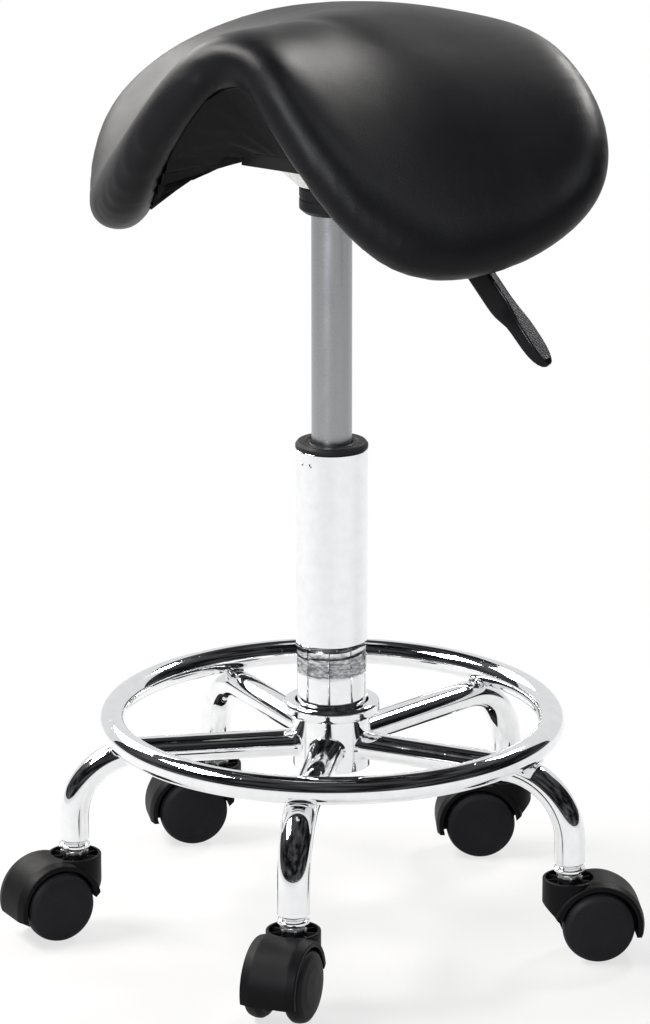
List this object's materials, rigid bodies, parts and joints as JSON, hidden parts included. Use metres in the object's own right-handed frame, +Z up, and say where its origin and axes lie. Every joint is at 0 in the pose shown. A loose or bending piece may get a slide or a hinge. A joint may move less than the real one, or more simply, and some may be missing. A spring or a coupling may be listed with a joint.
{
  "type": "saddle stool",
  "caption": "Rolling saddle stool with a padded saddle seat, gas-lift column, chrome foot ring and bent tube legs on swivel casters.",
  "frame": {"origin": "on the floor, under the middle of the bounding box", "axes": "+Z up; the front of the saddle, its open arch, faces -Y; the release lever is on the +X side"},
  "size_m": [0.4374, 0.4136, 0.6461],
  "materials": {
    "chrome": "polished chrome plate",
    "satin_steel": "satin grey steel",
    "zinc_steel": "bright zinc plate",
    "black_paint": "semi-matt black powder coat",
    "black_plastic": "matt moulded black plastic",
    "caster_plastic": "matt black nylon with a fine moulded grain",
    "gloss_plastic": "glossy black plastic with a textured grip face",
    "seat_leather": "smooth black leather cloth, softly sheened",
    "cover_cloth": "matt black non-woven cloth",
    "plywood": "raw moulded plywood"
  },
  "bodies": {
    "base": {"hub": "chrome", "leg_1": "chrome", "leg_2": "chrome", "leg_3": "chrome", "leg_4": "chrome", "leg_5": "chrome", "foot_ring": "chrome", "column_tube": "chrome", "guide_bush": "black_plastic", "thrust_bearing": "satin_steel", "stem_socket_1": "chrome", "stem_socket_2": "chrome", "stem_socket_3": "chrome", "stem_socket_4": "chrome", "stem_socket_5": "chrome", "caster_1_stem": "zinc_steel", "caster_2_stem": "zinc_steel", "caster_3_stem": "zinc_steel", "caster_4_stem": "zinc_steel", "caster_5_stem": "zinc_steel"},
    "rod": {"piston_rod": "satin_steel", "piston": "satin_steel", "retaining_clip": "zinc_steel"},
    "lift": {"gas_tube": "satin_steel", "tube_gland": "black_plastic", "cone_socket": "zinc_steel", "socket_collar": "black_plastic", "seat_plate": "black_paint", "plate_bolt_1": "zinc_steel", "plate_bolt_2": "zinc_steel", "plate_bolt_3": "zinc_steel", "plate_bolt_4": "zinc_steel", "lever_pin": "zinc_steel", "seat_shell": "plywood", "seat_cushion": "seat_leather", "dust_cover": "cover_cloth"},
    "lever": {"lever_arm": "zinc_steel", "lever_handle": "gloss_plastic"},
    "button": {"release_button": "zinc_steel"},
    "caster_1": {"caster_1_hood": "caster_plastic", "caster_1_axle": "satin_steel"},
    "caster_1_left": {"caster_1_wheel_left": "caster_plastic"},
    "caster_1_right": {"caster_1_wheel_right": "caster_plastic"},
    "caster_2": {"caster_2_hood": "caster_plastic", "caster_2_axle": "satin_steel"},
    "caster_2_left": {"caster_2_wheel_left": "caster_plastic"},
    "caster_2_right": {"caster_2_wheel_right": "caster_plastic"},
    "caster_3": {"caster_3_hood": "caster_plastic", "caster_3_axle": "satin_steel"},
    "caster_3_left": {"caster_3_wheel_left": "caster_plastic"},
    "caster_3_right": {"caster_3_wheel_right": "caster_plastic"},
    "caster_4": {"caster_4_hood": "caster_plastic", "caster_4_axle": "satin_steel"},
    "caster_4_left": {"caster_4_wheel_left": "caster_plastic"},
    "caster_4_right": {"caster_4_wheel_right": "caster_plastic"},
    "caster_5": {"caster_5_hood": "caster_plastic", "caster_5_axle": "satin_steel"},
    "caster_5_left": {"caster_5_wheel_left": "caster_plastic"},
    "caster_5_right": {"caster_5_wheel_right": "caster_plastic"}
  },
  "joints": [
    {"name": "seat_swivel", "type": "hinge", "parent": "base", "child": "rod", "pos_m": [-0.00893, 0.00594, 0.127], "axis": [0, 0, 1], "continuous": true},
    {"name": "height_slide", "type": "slide", "parent": "rod", "child": "lift", "axis": [0, 0, 1], "range_m": [-0.14, 0]},
    {"name": "release_lever", "type": "hinge", "parent": "lift", "child": "lever", "pos_m": [0.03107, 0.00594, 0.547], "axis": [0, -1, 0], "range_deg": [0, 6], "stiffness_Nm_per_rad": 1.2, "springref_deg": -8.59},
    {"name": "button_press", "type": "slide", "parent": "lift", "child": "button", "axis": [0, 0, -1], "range_m": [0, 0.0042]},
    {"name": "caster_1_swivel", "type": "hinge", "parent": "base", "child": "caster_1", "pos_m": [0.07595, -0.15505, 0.05], "axis": [0, 0, 1], "continuous": true},
    {"name": "caster_1_roll_left", "type": "hinge", "parent": "caster_1", "child": "caster_1_left", "pos_m": [0.08084, -0.17341, 0.025], "axis": [0.9664, 0.2571, 0], "continuous": true},
    {"name": "caster_1_roll_right", "type": "hinge", "parent": "caster_1", "child": "caster_1_right", "pos_m": [0.08084, -0.17341, 0.025], "axis": [0.9664, 0.2571, 0], "continuous": true},
    {"name": "caster_2_swivel", "type": "hinge", "parent": "base", "child": "caster_2", "pos_m": [0.17041, 0.03692, 0.05], "axis": [0, 0, 1], "continuous": true},
    {"name": "caster_2_roll_left", "type": "hinge", "parent": "caster_2", "child": "caster_2_left", "pos_m": [0.18499, 0.04911, 0.025], "axis": [-0.6414, 0.7672, 0], "continuous": true},
    {"name": "caster_2_roll_right", "type": "hinge", "parent": "caster_2", "child": "caster_2_right", "pos_m": [0.18499, 0.04911, 0.025], "axis": [-0.6414, 0.7672, 0], "continuous": true},
    {"name": "caster_3_swivel", "type": "hinge", "parent": "base", "child": "caster_3", "pos_m": [0.01703, 0.18608, 0.05], "axis": [0, 0, 1], "continuous": true},
    {"name": "caster_3_roll_left", "type": "hinge", "parent": "caster_3", "child": "caster_3_left", "pos_m": [0.00204, 0.17441, 0.025], "axis": [0.6143, -0.7891, 0], "continuous": true},
    {"name": "caster_3_roll_right", "type": "hinge", "parent": "caster_3", "child": "caster_3_right", "pos_m": [0.00204, 0.17441, 0.025], "axis": [0.6143, -0.7891, 0], "continuous": true},
    {"name": "caster_4_swivel", "type": "hinge", "parent": "base", "child": "caster_4", "pos_m": [-0.17223, 0.08629, 0.05], "axis": [0, 0, 1], "continuous": true},
    {"name": "caster_4_roll_left", "type": "hinge", "parent": "caster_4", "child": "caster_4_left", "pos_m": [-0.18545, 0.07265, 0.025], "axis": [0.7181, -0.6959, 0], "continuous": true},
    {"name": "caster_4_roll_right", "type": "hinge", "parent": "caster_4", "child": "caster_4_right", "pos_m": [-0.18545, 0.07265, 0.025], "axis": [0.7181, -0.6959, 0], "continuous": true},
    {"name": "caster_5_swivel", "type": "hinge", "parent": "base", "child": "caster_5", "pos_m": [-0.13581, -0.12454, 0.05], "axis": [0, 0, 1], "continuous": true},
    {"name": "caster_5_roll_left", "type": "hinge", "parent": "caster_5", "child": "caster_5_left", "pos_m": [-0.14387, -0.14174, 0.025], "axis": [0.9056, -0.4242, 0], "continuous": true},
    {"name": "caster_5_roll_right", "type": "hinge", "parent": "caster_5", "child": "caster_5_right", "pos_m": [-0.14387, -0.14174, 0.025], "axis": [0.9056, -0.4242, 0], "continuous": true}
  ],
  "couplings": [
    {"joint": "button_press", "follows": "release_lever", "m_per_rad": 0.04}
  ]
}
